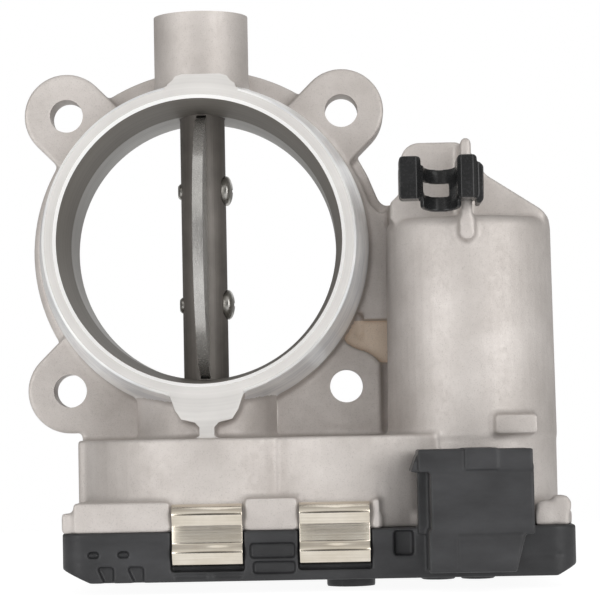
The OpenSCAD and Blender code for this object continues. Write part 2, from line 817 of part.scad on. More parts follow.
// Side view of the cover, seen along the bore
module cover_front_view() {
    polygon([[-34.1, split_z], [-34.1, -79.2], [-27, cover_low], [85, cover_low], [89.9, -80],
        [89.9, split_z]]);
}

module cover_block() {
    intersection() {
        translate([0, 0, cover_low]) linear_extrude(split_z - cover_low)
            polygon(round_rect(-34.1, cover_front, 89.9, cover_rear, 6));
        translate([0, 20, 0]) rotate([90, 0, 0]) linear_extrude(80) cover_front_view();
    }
}

// Bays in the cover's walls for the spring clips, with a notch for the lower hook
module clip_bays() {
    half = clip_w / 2 + 0.4;
    for (x = clips_front) {
        block([x - half, cover_front - 5, -80.2], [x + half, lip_front - 0.1, split_z + 1]);
        block([x - half, cover_front - 5, -80.2], [x + half, lip_front + 1.6, hook_z]);
    }
    for (x = clips_rear) {
        block([x - half, lip_rear + 0.1, -80.2], [x + half, cover_rear + 5, split_z + 1]);
        block([x - half, lip_rear - 1.6, -80.2], [x + half, cover_rear + 5, hook_z]);
    }
}

// Outside of the connector: body, collar rim in three steps, lower panel and latch wedge
module connector_body() {
    block([plug_x[0], plug_y[0], -72], [plug_x[1], plug_y[1], plug_top - 4]);
    block([plug_x[0] - 2.8, plug_y[0] - 0.2, plug_top - 5.4], [62.7, plug_y[1], plug_top - 0.1]);
    block([62.6, plug_y[0] - 0.9, plug_top - 5], [70.2, plug_y[1], plug_top + 0.1]);
    block([70.1, plug_y[0] - 0.6, plug_top - 5.2], [plug_x[1] - 0.2, plug_y[1], plug_top - 0.2]);
    plate_xz([[plug_x[0] - 0.6, plug_low], [plug_x[0] - 0.6, -71], [76.8, -71], [74.2, plug_low]],
        plug_y[0], plug_y[1]);
    plate_xz([[60.8, plug_low + 0.2], [60.8, -72.2], [76, -72], [74, plug_low + 0.2]],
        plug_y[0] - 0.5, plug_y[0] + 1);
    plate_xz([[plug_x[0] - 4.6, -57.2], [plug_x[0] - 3.2, -53.4], [plug_x[0] - 1.6, -52.6],
        [plug_x[0] + 1, -57.2]], plug_y[0] + 1, plug_y[1] - 2);
    block([plug_x[0] - 2.6, plug_y[1] - 8, -72], [plug_x[0] + 1, plug_y[1], plug_top - 5]);
    block([plug_x[0] - 1, plug_y[1] - 1, -80.6], [plug_x[1] - 3.4, plug_y[1] + 2, -71]);
}

module connector_socket() {
    block([plug_x[0] + 1.6, plug_y[0] + 1.6, -68], [plug_x[1] - 1.6, plug_y[1] - 2.4, plug_top + 1]);
}

// Bosses that stand down from the cover
module cover_bosses() {
    translate([35.6, -30, -85.4]) cylinder(r = 6, h = 4);
    for (x = [57.2, 67]) translate([x, -30, -84.2]) cylinder(r = 4.3, h = 3);
}

module cover() {
    color("#2c2c2e") difference() {
        union() {
            difference() {
                union() {
                    cover_block();
                    connector_body();
                    cover_bosses();
                }
                translate([0, 0, cover_low + cover_wall]) linear_extrude(20) intersection() {
                    case_plan(wall - 0.2);
                    polygon([[-31, -47.6], [86, -47.6], [86, 12], [-31, 12]]);
                }
            }
            at_idler() rod(4.4, [cover_low + 1, -72.9]);
            at_shaft() rod(3.6, [cover_low + 1, -76.6]);
            for (s = [-1, 1]) translate([motor_x, motor_y + s * 12, 0]) block([-2.6, -2, cover_low + 1],
                [2.6, 2, -74.8]);
        }
        connector_socket();
        clip_bays();
        at_idler() rod(2.5, [-79, -70]);
        for (k = [0 : pin_count - 1]) pin(k);
        for (s = [-1, 1]) translate([motor_x, motor_y + s * 12, 0])
            block([-1.1, -0.4, -79.4], [1.1, 0.4, -70]);
        cover_gasket_groove();
        cover_marks();
    }
}

// Ledges and pockets moulded into the cover's front
module cover_marks() {
    shallow = cover_front + 0.6;
    deep = cover_front + 1.5;
    for (z = [-77.9, -72.9]) block([-30.6, -60, z], [-8.8, shallow, z + 0.6]);
    for (x = [-27.6, -20.4]) {
        block([x, -60, -76.6], [x + 2.7, deep, -75]);
        plate_xz([[x + 2.2, -78.7], [x + 6.2, -78.7], [x + 6.2, cover_low - 1], [x + 4.4, cover_low - 1]],
            -60, deep);
    }
    block([11.4, -60, -77.2], [22.2, deep, -73.6]);
    block([12.1, -60, -80.9], [22.2, deep, -78]);
    for (x = [[-7, 1.3], [2.3, 9.6]]) block([x[0], -60, -81.8], [x[1], shallow, -80.6]);
    block([43.2, -60, -75.2], [46, shallow, -74.7]);
    block([46, -60, -77.1], [50.6, cover_front + 3, -71.2]);
    block([77.4, -60, -78], [92, shallow, -77.2]);
}

module cover_gasket_groove() {
    translate([0, 0, split_z - 1.2]) linear_extrude(2) gasket_plan();
}

module gasket_plan() {
    difference() {
        case_plan(0.8);
        case_plan(2.3);
    }
}

module cover_gasket() {
    color("#6b3f38") translate([0, 0, split_z - 1.2]) linear_extrude(1.2) gasket_plan();
}

// Inner face of a spring clip as [outward, z] points: hook, two rolls with a valley, lower hook
function clip_line() = let (steps = 26, z0 = lip_top - 0.6, z1 = hook_z + 0.5) concat(
    [[-1.3, lip_top], [-0.2, lip_top], [0.4, lip_top - 0.15]],
    [for (i = [0 : steps]) let (z = z0 + (z1 - z0) * i / steps)
        [1 + 0.85 * cos(360 * (z - roll_top) / roll_gap), z]],
    [[0.3, hook_z - 0.05], [-0.3, hook_z - 0.1], [-1.3, hook_z - 0.1]]);

// The other face, one thickness further out
function clip_outer(line) = [for (i = [0 : len(line) - 1]) let (d = line[min(i + 1, len(line) - 1)]
    - line[max(i - 1, 0)]) line[i] + clip_t * [-d[1], d[0]] / norm(d)];

// One clip centred at x against the face y0; side is 1 in front and -1 behind
module spring_clip(x, y0, side) {
    inner = clip_line();
    outer = clip_outer(inner);
    bar_x(concat([for (p = inner) [y0 - side * p[0], p[1]]],
        [for (i = [len(outer) - 1 : -1 : 0]) [y0 - side * outer[i][0], outer[i][1]]]),
        x - clip_w / 2, x + clip_w / 2);
}

module cover_clips() {
    color("#d8d5cc") {
        for (x = clips_front) spring_clip(x, lip_front - 0.4, 1);
        for (x = clips_rear) spring_clip(x, lip_rear + 0.4, -1);
    }
}

function pin_x(k) = (plug_x[0] + plug_x[1]) / 2 + (k - (pin_count - 1) / 2) * 3.2;
pin_y = (plug_y[0] + plug_y[1]) / 2 - 0.4;

// Bent connector pin: up into the socket and back into the cover
module pin(k) {
    block([pin_x(k) - 0.32, pin_y - 0.32, -79.4], [pin_x(k) + 0.32, pin_y + 0.32, -55.4]);
    block([pin_x(k) - 0.32, pin_y - 0.32, -79.4], [pin_x(k) + 0.32, -44, -78.7]);
}

module connector_pins() {
    color("#c9b46a") for (k = [0 : pin_count - 1]) pin(k);
}

module motor_contacts() {
    color("#c9b46a") for (s = [-1, 1]) translate([motor_x, motor_y + s * 12, 0]) block([-1.1, -0.4, -79.4],
        [1.1, 0.4, -51.4]);
}

module sensor_board() {
    color("#2f5d3a") at_shaft() difference() {
        block([-13, -12, -80.2], [13, 12, -78.8]);
        rod(3.6, [-82, -77]);
    }
}

module sensor_chip() {
    color("#222222") at_shaft() block([-2.4, -0.9, -76.6], [2.4, 0.9, -69]);
}

// ---- wire clip ----

// Half ring of the cradle, open to the front: z is measured from the middle, x0 is where it starts
module half_ring(z, x0) {
    difference() {
        tube(hold_r + hold_t, hold_r, z);
        block([-8, -8, z[0] - 1], [8, 0, z[1] + 1]);
        block([-8, -8, z[0] - 1], [x0, 8, z[1] + 1]);
    }
}

// Jaw of the wire clip: a rounded front view cut to a plan of [x, y] points
module jaw(x0, x1, z0, z1, plan) {
    intersection() {
        plate_xz(round_rect(x0, z0, x1, z1, 0.9), -60, -42);
        translate([0, 0, z0 - 1]) linear_extrude(z1 - z0 + 2) polygon(plan);
    }
}

module wire_clip() {
    color("#1f2022") difference() {
        union() {
            translate([hold_x, hold_y, hold_z]) rotate([-hold_tilt, 0, 0]) {
                half_ring([1.8, 5.3], -6);
                half_ring([-5.2, -1.6], -6);
                half_ring([-5.2, 5.3], 2.2);
            }
            jaw(48.9, 54.2, 8.1, 18.4, [[48.9, -57], [53.1, -57], [54.2, -55.4], [54.2, -49.6],
                [48.9, -49.6]]);
            jaw(62.9, 67.7, 8.2, 18.6, [[62.9, -55.6], [63.8, -56.8], [66.8, -56.8], [67.7, -55.6],
                [67.7, -43.6], [62.9, -43.6]]);
            block([53.4, hold_y - 1, 8.6], [54.8, hold_y + 1.6, 16.6]);
            plate_xz([[67.5, 17], [68.4, 16.9], [69.3, 15.9], [69.2, 7.9], [68.4, 6.9], [67.5, 7]], -55, -46);
        }
        block([fin_x - fin_t / 2, fin_front, 0], [fin_x + fin_t / 2, -40, 30]);
    }
}

housing();
shaft_end_plug();
needle_bearing_shell();
bearing_needles();
upper_shaft_seal();
lower_shaft_seal();
ball_bearing_outer_race();
bearing_balls();
ball_bearing_inner_race();
throttle_shaft();
throttle_plate();
plate_screws();
sector_gear();
sector_insert();
sensor_magnet();
return_spring();
spring_bush();
idler_gear();
idler_pin();
motor_pinion();
motor_shaft();
armature_core();
armature_windings();
commutator();
motor_can();
motor_magnets();
motor_end_plate();
brush_holder();
motor_brushes();
motor_rear_bush();
motor_front_bush();
motor_wave_spring();
motor_screws();
cover();
cover_gasket();
cover_clips();
connector_pins();
motor_contacts();
sensor_board();
sensor_chip();
wire_clip();
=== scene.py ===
"""Electronic throttle body: looks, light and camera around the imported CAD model."""

import json
import math

import bmesh
import bpy
import numpy as np
from mathutils import Matrix, Vector


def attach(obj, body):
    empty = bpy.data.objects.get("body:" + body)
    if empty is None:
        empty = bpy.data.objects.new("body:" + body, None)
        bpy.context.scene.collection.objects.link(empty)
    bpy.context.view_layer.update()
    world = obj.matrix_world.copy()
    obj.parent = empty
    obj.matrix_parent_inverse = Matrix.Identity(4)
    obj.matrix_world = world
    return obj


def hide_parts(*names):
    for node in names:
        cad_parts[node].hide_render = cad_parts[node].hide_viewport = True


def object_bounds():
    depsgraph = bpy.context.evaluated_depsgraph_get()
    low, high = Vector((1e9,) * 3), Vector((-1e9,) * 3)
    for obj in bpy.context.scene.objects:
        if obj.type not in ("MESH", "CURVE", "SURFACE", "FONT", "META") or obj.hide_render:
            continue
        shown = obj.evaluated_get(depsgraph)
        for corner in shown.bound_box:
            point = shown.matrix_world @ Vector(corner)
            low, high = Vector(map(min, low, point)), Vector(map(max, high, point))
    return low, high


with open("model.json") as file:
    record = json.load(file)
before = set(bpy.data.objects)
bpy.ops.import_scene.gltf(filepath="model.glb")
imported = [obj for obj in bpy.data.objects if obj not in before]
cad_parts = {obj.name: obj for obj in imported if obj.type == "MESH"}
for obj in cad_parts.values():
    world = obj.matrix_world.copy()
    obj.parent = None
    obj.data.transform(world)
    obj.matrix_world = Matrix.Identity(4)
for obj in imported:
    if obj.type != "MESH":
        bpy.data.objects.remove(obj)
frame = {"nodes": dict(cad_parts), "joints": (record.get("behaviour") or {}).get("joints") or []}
CAD_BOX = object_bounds()
NODES = frame["nodes"]
MM = 0.001

# ---- driving dimensions, millimetres, as in the CAD ----
JOINT = {j["name"]: j for j in frame["joints"]}
SHAFT_Y = JOINT["throttle_turn"]["pos_m"][1] / MM
FRONT = -46.0
MOUTH_R = 35.0
BORE_R = 33.5
COLLAR_R = 38.4
COLLAR_ROOT_R = 41.9
COLLAR_ROOT_Y = -20.0
CONE_END = -21.0
FLANGE_R = 45.0
EAR_T = 10.5
RIM = 0.5
TONGUE_X = 1.2
TONGUE_HALF = 7.3
RIB_T = 1.8
BOLT = 35.5
BOLT_R = 4.25
EAR_R = 10.9
BOSS_TOP = 59.0
SEAT_R = 8.4
SHAFT_HOLE_R = 5.9
SPARE = 2.0  # how far the stock reaches past what the machining leaves
CASE_TOP = -47.6
CLIP_SHEET = 0.6
CLIP_DEPTH = 1.3  # how far the tips of a clip's hooks lie behind the line of its sheet


# ---- node graphs ----


def add(tree, kind, inputs=None, **props):
    """One shader node. Each input is a value to set or an output socket to link."""
    made = tree.nodes.new(kind)
    for key, value in props.items():
        setattr(made, key, value)
    for key, value in (inputs or {}).items():
        socket = made.inputs[key]
        if isinstance(value, bpy.types.NodeSocket):
            tree.links.new(value, socket)
        else:
            socket.default_value = value
    return made


def ramp(tree, value, low, high, out_low, out_high):
    """value mapped from low..high to out_low..out_high."""
    made = add(tree, "ShaderNodeMapRange", {"Value": value, "From Min": low, "From Max": high,
                                            "To Min": out_low, "To Max": out_high})
    return made.outputs["Result"]


def mix_colors(tree, factor, a, b):
    made = add(tree, "ShaderNodeMix", data_type="RGBA")
    tree.links.new(factor, made.inputs[0])
    for socket, value in ((made.inputs[6], a), (made.inputs[7], b)):
        if isinstance(value, bpy.types.NodeSocket):
            tree.links.new(value, socket)
        else:
            socket.default_value = (*value, 1)
    return made.outputs[2]


def stretched(tree, scale):
    """Object coordinates, stretched by a scale for each axis."""
    coords = add(tree, "ShaderNodeTexCoord").outputs["Object"]
    return add(tree, "ShaderNodeMapping", {"Vector": coords, "Scale": scale}).outputs["Vector"]


def noise(tree, vector, scale, detail=3.0, rough=0.55):
    return add(tree, "ShaderNodeTexNoise", {"Vector": vector, "Scale": scale, "Detail": detail,
                                            "Roughness": rough}).outputs["Fac"]


def turned_coords(tree, spread=0.02):
    """Coordinates of turning marks about the bore axis: the radius, the depth and a little of the angle."""
    coords = add(tree, "ShaderNodeTexCoord").outputs["Object"]
    xyz = add(tree, "ShaderNodeSeparateXYZ", {"Vector": coords})
    flat = add(tree, "ShaderNodeCombineXYZ", {"X": xyz.outputs["X"], "Y": xyz.outputs["Z"]})
    radius = add(tree, "ShaderNodeVectorMath", {0: flat.outputs["Vector"]}, operation="LENGTH")
    angle = add(tree, "ShaderNodeMath", {0: xyz.outputs["X"], 1: xyz.outputs["Z"]}, operation="ARCTAN2")
    little = add(tree, "ShaderNodeMath", {0: angle.outputs["Value"], 1: spread * MM}, operation="MULTIPLY")
    return add(tree, "ShaderNodeCombineXYZ", {"X": radius.outputs["Value"], "Y": xyz.outputs["Y"],
                                              "Z": little.outputs["Value"]}).outputs["Vector"]


def bump(tree, height, strength, distance):
    return add(tree, "ShaderNodeBump", {"Height": height, "Strength": strength,
                                        "Distance": distance}).outputs["Normal"]


def new_material(name, fill, **fixed):
    """A Principled material: fill(tree) gives the sockets that vary, fixed the ones that don't."""
    mat = bpy.data.materials.new(name)
    mat.use_nodes = True
    tree = mat.node_tree
    tree.nodes.clear()
    shader = add(tree, "ShaderNodeBsdfPrincipled", {k.replace("_", " "): v for k, v in fixed.items()})
    for key, socket in fill(tree).items():
        tree.links.new(socket, shader.inputs[key])
    add(tree, "ShaderNodeOutputMaterial", {"Surface": shader.outputs["BSDF"]})
    return mat


def cast_metal(name, dark, light, rough=(0.46, 0.62), grain=0.5):
    """Shot-blasted casting: fine pitting, coarser orange peel and faint clouds."""

    def fill(tree):
        here = stretched(tree, (1, 1, 1))
        clouds = noise(tree, here, 55, 4)
        peel = noise(tree, here, 900, 3)
        pits = noise(tree, here, 3200, 2, 0.7)
        tone = mix_colors(tree, ramp(tree, clouds, 0.3, 0.7, 0, 1), dark, light)
        speck = ramp(tree, pits, 0.25, 0.45, 0.78, 1)
        speck_color = add(tree, "ShaderNodeCombineColor", {"Red": speck, "Green": speck, "Blue": speck})
        both = add(tree, "ShaderNodeMix", data_type="RGBA", blend_type="MULTIPLY")
        both.inputs[0].default_value = 1
        tree.links.new(tone, both.inputs[6])
        tree.links.new(speck_color.outputs["Color"], both.inputs[7])
        mixed = add(tree, "ShaderNodeMath", {0: peel, 1: pits}, operation="ADD").outputs["Value"]
        return {"Base Color": both.outputs[2], "Roughness": ramp(tree, peel, 0.3, 0.7, *rough),
                "Normal": bump(tree, mixed, grain, 0.00008)}

    return new_material(name, fill, Metallic=0.5, Specular_IOR_Level=0.5)


def turned_metal(name, dark, light, rough=(0.24, 0.38), grain=0.25, metallic=1.0, marks=9000, patch=45,
                 spread=(0.7, 1.3)):
    """Machined face with turning marks about the bore axis and patches of tone, patch of them to a metre."""

    def fill(tree):
        here = turned_coords(tree)
        fine = noise(tree, here, marks, 4, 0.7)
        broad = noise(tree, here, marks / 12, 2)
        clouds = noise(tree, stretched(tree, (1, 1, 1)), patch, 3)
        tone = add(tree, "ShaderNodeMath", {0: broad, 1: clouds}, operation="ADD").outputs["Value"]
        return {"Base Color": mix_colors(tree, ramp(tree, tone, *spread, 0, 1), dark, light),
                "Roughness": ramp(tree, fine, 0.3, 0.7, *rough),
                "Normal": bump(tree, fine, grain, 0.00002)}

    return new_material(name, fill, Metallic=metallic)


def drawn_metal(name, dark, light, scale, rough=(0.2, 0.36), grain=0.2, metallic=1.0):
    """Metal with straight marks: scale gives how fine they are along each axis."""

    def fill(tree):
        lines = noise(tree, stretched(tree, scale), 1, 4, 0.65)
        clouds = noise(tree, stretched(tree, (1, 1, 1)), 120, 3)
        tone = add(tree, "ShaderNodeMath", {0: lines, 1: clouds}, operation="ADD").outputs["Value"]
        return {"Base Color": mix_colors(tree, ramp(tree, tone, 0.7, 1.3, 0, 1), dark, light),
                "Roughness": ramp(tree, lines, 0.3, 0.7, *rough),
                "Normal": bump(tree, lines, grain, 0.00002)}

    return new_material(name, fill, Metallic=metallic)


def moulded(name, dark, light, rough=(0.38, 0.55), grain=0.35, fibre=1500, shine=0.5):
    """Moulded plastic with a fine eroded texture and faint flow clouds."""

    def fill(tree):
        here = stretched(tree, (1, 1, 1))
        texture = noise(tree, here, fibre, 3, 0.6)
        flow = noise(tree, stretched(tree, (1, 1, 2.5)), 70, 4)
        return {"Base Color": mix_colors(tree, ramp(tree, flow, 0.3, 0.7, 0, 1), dark, light),
                "Roughness": ramp(tree, texture, 0.3, 0.7, *rough),
                "Normal": bump(tree, texture, grain, 0.00005)}

    return new_material(name, fill, Specular_IOR_Level=shine)


CAST = cast_metal("cast_aluminium", (0.47, 0.435, 0.41), (0.63, 0.592, 0.565))
FACE = turned_metal("machined_face", (0.52, 0.505, 0.49), (0.66, 0.645, 0.625), (0.38, 0.5), 0.45, 0.4)
# Tan step beside the lower right ear: far lighter than the cast metal, so its colour carries painted light
# into a recess that lies in shade.
TAN_STEP_PAINTED_LIGHT = cast_metal("tan_step_painted_light", (0.8, 0.68, 0.56), (0.92, 0.8, 0.68), (0.6, 0.75))
# Collar's cone and rim: a near-white base, much lighter than the flat machined face, that is a painted
# reflection of the bright surroundings; its patches are random tone.
CONE_PAINTED_REFLECTION = turned_metal("cone_painted_reflection", (0.74, 0.75, 0.77), (0.97, 0.97, 0.96), (0.28, 0.4), 0.3, 0.4, 5000, 70,
                    (0.85, 1.12))
# Bore wall: a dark base colour that is painted shade inside the bore.
BORE_PAINTED_SHADE = turned_metal("bore_painted_shade", (0.19, 0.176, 0.157), (0.25, 0.232, 0.21), (0.5, 0.62), 0.25, 0.4)
# Mouth chamfer and collar rim edge: a near-white base colour that is a painted highlight.
EDGE_PAINTED_HIGHLIGHT = turned_metal("edge_painted_highlight", (0.92, 0.915, 0.905), (0.99, 0.985, 0.975), (0.34, 0.46), 0.25, 0.3)
# Bore behind the plate: the bore's metal made lighter than the bore wall in front, as painted light from
# behind.
REAR_PAINTED_LIGHT = turned_metal("bore_behind_plate_painted_light", (0.46, 0.45, 0.435), (0.62, 0.61, 0.595), (0.45, 0.6), 0.25, 0.5)
SHAFT = drawn_metal("shaft_steel", (0.12, 0.11, 0.1), (0.2, 0.184, 0.168), (2600, 2600, 14),
                    (0.42, 0.55), 0.2, 0.4)
PLATE = drawn_metal("plate_metal", (0.42, 0.41, 0.395), (0.56, 0.55, 0.53), (1500, 1500, 60),
                    (0.2, 0.32), 0.2, 0.7)
NICKEL = drawn_metal("clip_nickel", (0.72, 0.65, 0.54), (0.88, 0.82, 0.72), (60, 2600, 2600),
                     (0.1, 0.17), 0.1)
STEEL = drawn_metal("plated_steel", (0.5, 0.5, 0.49), (0.7, 0.7, 0.68), (900, 900, 900), (0.25, 0.42))
BEARING = drawn_metal("bearing_steel", (0.6, 0.6, 0.61), (0.78, 0.78, 0.79), (1800, 1800, 1800),
                      (0.12, 0.22), 0.1)
SCREW = drawn_metal("screw_steel", (0.4, 0.39, 0.36), (0.62, 0.61, 0.58), (1400, 1400, 1400), (0.24, 0.4))
BRASS = drawn_metal("brass", (0.6, 0.42, 0.16), (0.78, 0.58, 0.28), (1200, 1200, 1200), (0.22, 0.36))
COPPER = drawn_metal("copper", (0.5, 0.2, 0.08), (0.75, 0.36, 0.18), (400, 400, 3000), (0.25, 0.4), 0.5)
DARK_STEEL = drawn_metal("dark_steel", (0.1, 0.1, 0.11), (0.22, 0.22, 0.23), (700, 700, 3000),
                         (0.35, 0.5))
BLACK = moulded("black_plastic", (0.023, 0.0232, 0.0245), (0.042, 0.0425, 0.045),
                (0.36, 0.52), 0.35, 1500, 0.35)
CLIP_BLACK = moulded("clip_plastic", (0.011, 0.0112, 0.0115), (0.018, 0.0182, 0.0187),
                     (0.2, 0.32), 0.2, 1500, 0.4)
IVORY = moulded("gear_plastic", (0.62, 0.56, 0.44), (0.76, 0.71, 0.6), (0.35, 0.5), 0.15)
RUBBER = moulded("seal_rubber", (0.015, 0.015, 0.015), (0.028, 0.027, 0.026), (0.6, 0.75), 0.3, 700)
BOARD = moulded("board", (0.02, 0.12, 0.045), (0.035, 0.17, 0.07), (0.25, 0.35), 0.1)

LOOKS = {
    STEEL: "shaft_end_plug sector_insert motor_can motor_end_plate",
    BEARING: "needle_bearing_shell bearing_needles ball_bearing_outer_race ball_bearing_inner_race "
             "bearing_balls idler_pin motor_shaft motor_wave_spring",
    RUBBER: "upper_shaft_seal lower_shaft_seal cover_gasket",
    SHAFT: "throttle_shaft",
    PLATE: "throttle_plate",
    SCREW: "motor_screws",
    IVORY: "sector_gear spring_bush idler_gear",
    DARK_STEEL: "sensor_magnet motor_magnets armature_core motor_brushes return_spring",
    BRASS: "motor_pinion motor_rear_bush motor_front_bush connector_pins motor_contacts",
    COPPER: "armature_windings commutator",
    BLACK: "brush_holder sensor_chip",
    BOARD: "sensor_board",
}


def paint_nodes():
    for mat, names in LOOKS.items():
        for name in names.split():
            for place in NODES[name].material_slots:
                place.material = mat


# ---- mesh tools ----


def link(name, mesh):
    ob = bpy.data.objects.new(name, mesh)
    bpy.context.scene.collection.objects.link(ob)
    return ob


def from_bmesh(name, bm):
    mesh = bpy.data.meshes.new(name)
    bmesh.ops.recalc_face_normals(bm, faces=bm.faces)
    bm.to_mesh(mesh)
    bm.free()
    return link(name, mesh)


def copy_of(node, name):
    """A welded copy of a CAD node's mesh."""
    bm = bmesh.new()
    bm.from_mesh(NODES[node].data)
    bmesh.ops.remove_doubles(bm, verts=bm.verts, dist=1e-6)
    return from_bmesh(name, bm)


def baked(ob):
    """Replaces the mesh by what its modifiers make of it."""
    graph = bpy.context.evaluated_depsgraph_get()
    mesh = bpy.data.meshes.new_from_object(ob.evaluated_get(graph), depsgraph=graph)
    ob.modifiers.clear()
    ob.data = mesh
    return ob


def modified(ob, kind, **settings):
    made = ob.modifiers.new(kind.lower(), kind)
    for key, value in settings.items():
        setattr(made, key, value)
    return baked(ob)


def combine(ob, others, operation):
    """Boolean of ob with each of the others, which are used up."""
    for other in others:
        modified(ob, "BOOLEAN", operation=operation, solver="MANIFOLD", object=other)
        bpy.data.objects.remove(other)
    return ob


def voxels(ob, size):
    return modified(ob, "REMESH", mode="VOXEL", voxel_size=size * MM)


def softened(ob, steps):
    return modified(ob, "SMOOTH", factor=0.5, iterations=steps)


def swollen(ob, distance):
    """Moves every vertex along its normal."""
    mesh = ob.data
    count = len(mesh.vertices)
    places = np.empty(count * 3, np.float32)
    mesh.vertices.foreach_get("co", places)
    normals = np.empty(count * 3, np.float32)
    mesh.vertex_normals.foreach_get("vector", normals)
    mesh.vertices.foreach_set("co", places + normals * distance * MM)
    mesh.update()
    return ob


def filleted(ob, radius, size):
    """Fills inner corners to about the radius: the shape grows by it and shrinks back."""
    voxels(swollen(voxels(ob, size), radius), size)
    return voxels(swollen(ob, -radius), size)


def thinned(ob, faces):
    """Cuts the number of triangles down to about faces."""
    now = sum(len(p.vertices) - 2 for p in ob.data.polygons)
    return modified(ob, "DECIMATE", ratio=faces / now) if now > faces else ob


def split_along_y(ob, y):
    """Divides the faces that cross the plane at depth y, so that a material can end there."""
    bm = bmesh.new()
    bm.from_mesh(ob.data)
    geom = [*bm.verts, *bm.edges, *bm.faces]
    bmesh.ops.bisect_plane(bm, geom=geom, dist=1e-7, plane_co=(0, y * MM, 0), plane_no=(0, 1, 0))
    bm.to_mesh(ob.data)
    bm.free()
    return ob


def shaded(ob, degrees=32):
    ob.data.shade_smooth()
    ob.data.set_sharp_from_angle(angle=math.radians(degrees))
    return ob


def lathe(name, profile, steps=192):
    """A closed solid turned about the Y axis; [radius, y] points in millimetres start and end on it."""
    bm = bmesh.new()
    rings = []
    for r, y in profile:
        if r <= 0:
            rings.append([bm.verts.new((0, y * MM, 0))])
            continue
        angles = [2 * math.pi * k / steps for k in range(steps)]
        rings.append([bm.verts.new((r * MM * math.cos(a), y * MM, r * MM * math.sin(a))) for a in angles])
    for low, high in zip(rings, rings[1:]):
        for k in range(steps):
            near = [low[k % len(low)], low[(k + 1) % len(low)]]
            far = [high[(k + 1) % len(high)], high[k % len(high)]]
            bm.faces.new(list(dict.fromkeys(near + far)))
    return from_bmesh(name, bm)


def placed(ob, matrix):
    ob.data.transform(matrix)
    ob.data.update()
    return ob


def at(x, y, z):
    return Matrix.Translation((x * MM, y * MM, z * MM))


def along_z():
    """Turns a lathe's Y axis to Z."""
    return Matrix.Rotation(math.pi / 2, 4, "X")


def along_x():
    """Turns a lathe's Y axis to X."""
    return Matrix.Rotation(-math.pi / 2, 4, "Z")


def rod(r, low, high):
    """Profile of a rod between two heights."""
    return [(0, low), (r, low), (r, high), (0, high)]


def prism(name, points, low, high, axis="Y"):
    """A prism along an axis. points are [x, z] along Y and [y, z] along X."""
    bm = bmesh.new()
    ends = []
    for level in (low, high):
        spots = [(a, level, b) if axis == "Y" else (level, a, b) for a, b in points]
        ends.append([bm.verts.new(Vector(spot) * MM) for spot in spots])
    bm.faces.new(ends[0])
    bm.faces.new(ends[1])
    count = len(points)
    for k in range(count):
        bm.faces.new([ends[0][k], ends[0][(k + 1) % count], ends[1][(k + 1) % count], ends[1][k]])
    return from_bmesh(name, bm)


def box(name, low, high):
    corners = [(low[0], low[2]), (high[0], low[2]), (high[0], high[2]), (low[0], high[2])]
    return prism(name, corners, low[1], high[1])


def islands(node):
    """The box of each separate solid of a CAD node, in millimetres."""
    bm = bmesh.new()
    bm.from_mesh(NODES[node].data)
    bmesh.ops.remove_doubles(bm, verts=bm.verts, dist=1e-6)
    left, boxes = set(bm.verts), []
    while left:
        group, todo = set(), [left.pop()]
        while todo:
            vert = todo.pop()
            group.add(vert)
            fresh = [e.other_vert(vert) for e in vert.link_edges if e.other_vert(vert) in left]
            left.difference_update(fresh)
            todo += fresh
        places = np.array([v.co for v in group]) / MM
        boxes.append((places.min(0), places.max(0)))
    bm.free()
    return sorted(boxes, key=lambda b: tuple(b[0].round(2)))


def face_facts(ob):
    """Centre and normal of each face, in millimetres."""
    count = len(ob.data.polygons)
    centres, normals = np.empty(count * 3, np.float32), np.empty(count * 3, np.float32)
    ob.data.polygons.foreach_get("center", centres)
    ob.data.polygons.foreach_get("normal", normals)
    return centres.reshape(-1, 3) / MM, normals.reshape(-1, 3)


def given(ob, materials, choice=None):
    """Sets the object's materials, and which face has which."""
    ob.data.materials.clear()
    for mat in materials:
        ob.data.materials.append(mat)
    index = np.zeros(len(ob.data.polygons), np.int32) if choice is None else choice.astype(np.int32)
    ob.data.polygons.foreach_set("material_index", index)
    ob.data.update()
    return ob


def stands_for(ob, body, slot, *nodes):
    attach(ob, body)
    if nodes:
        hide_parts(*nodes)
    return ob


# ---- cast and machined housing ----


def collar_radius(y):
    """Radius of the drafted collar at depth y, carried on past its front."""
    return COLLAR_R + (COLLAR_ROOT_R - COLLAR_R) * (y - FRONT) / (COLLAR_ROOT_Y - FRONT)


def casting_stock():
    """Solid metal where the machining will cut: in the bore, before the collar and behind the flange."""
    stock = [
        lathe("stock_bore", rod(MOUTH_R + 1, FRONT + 1, SPARE)),
        lathe("stock_collar", [(0, FRONT - SPARE), (collar_radius(FRONT - SPARE), FRONT - SPARE),
                               (collar_radius(FRONT + 3), FRONT + 3), (0, FRONT + 3)]),
        lathe("stock_flange", rod(FLANGE_R, -3, SPARE)),
        placed(lathe("stock_boss", rod(12, 36.5, BOSS_TOP + SPARE)), at(0, SHAFT_Y, 0) @ along_z()),
    ]
    reach = BOLT * math.sqrt(2)
    for k in range(4):
        turn = Matrix.Rotation(math.radians(45 + 90 * k), 4, "Y")
        stock.append(placed(box("stock_arm", (0, -3, -EAR_R), (reach, SPARE, EAR_R)), turn))
        stock.append(placed(lathe("stock_ear", rod(EAR_R, -3, SPARE)), turn @ at(reach, 0, 0)))
        stock.append(placed(lathe("stock_hole", rod(BOLT_R + 1, -EAR_T, 0)), turn @ at(reach, 0, 0)))
    return stock


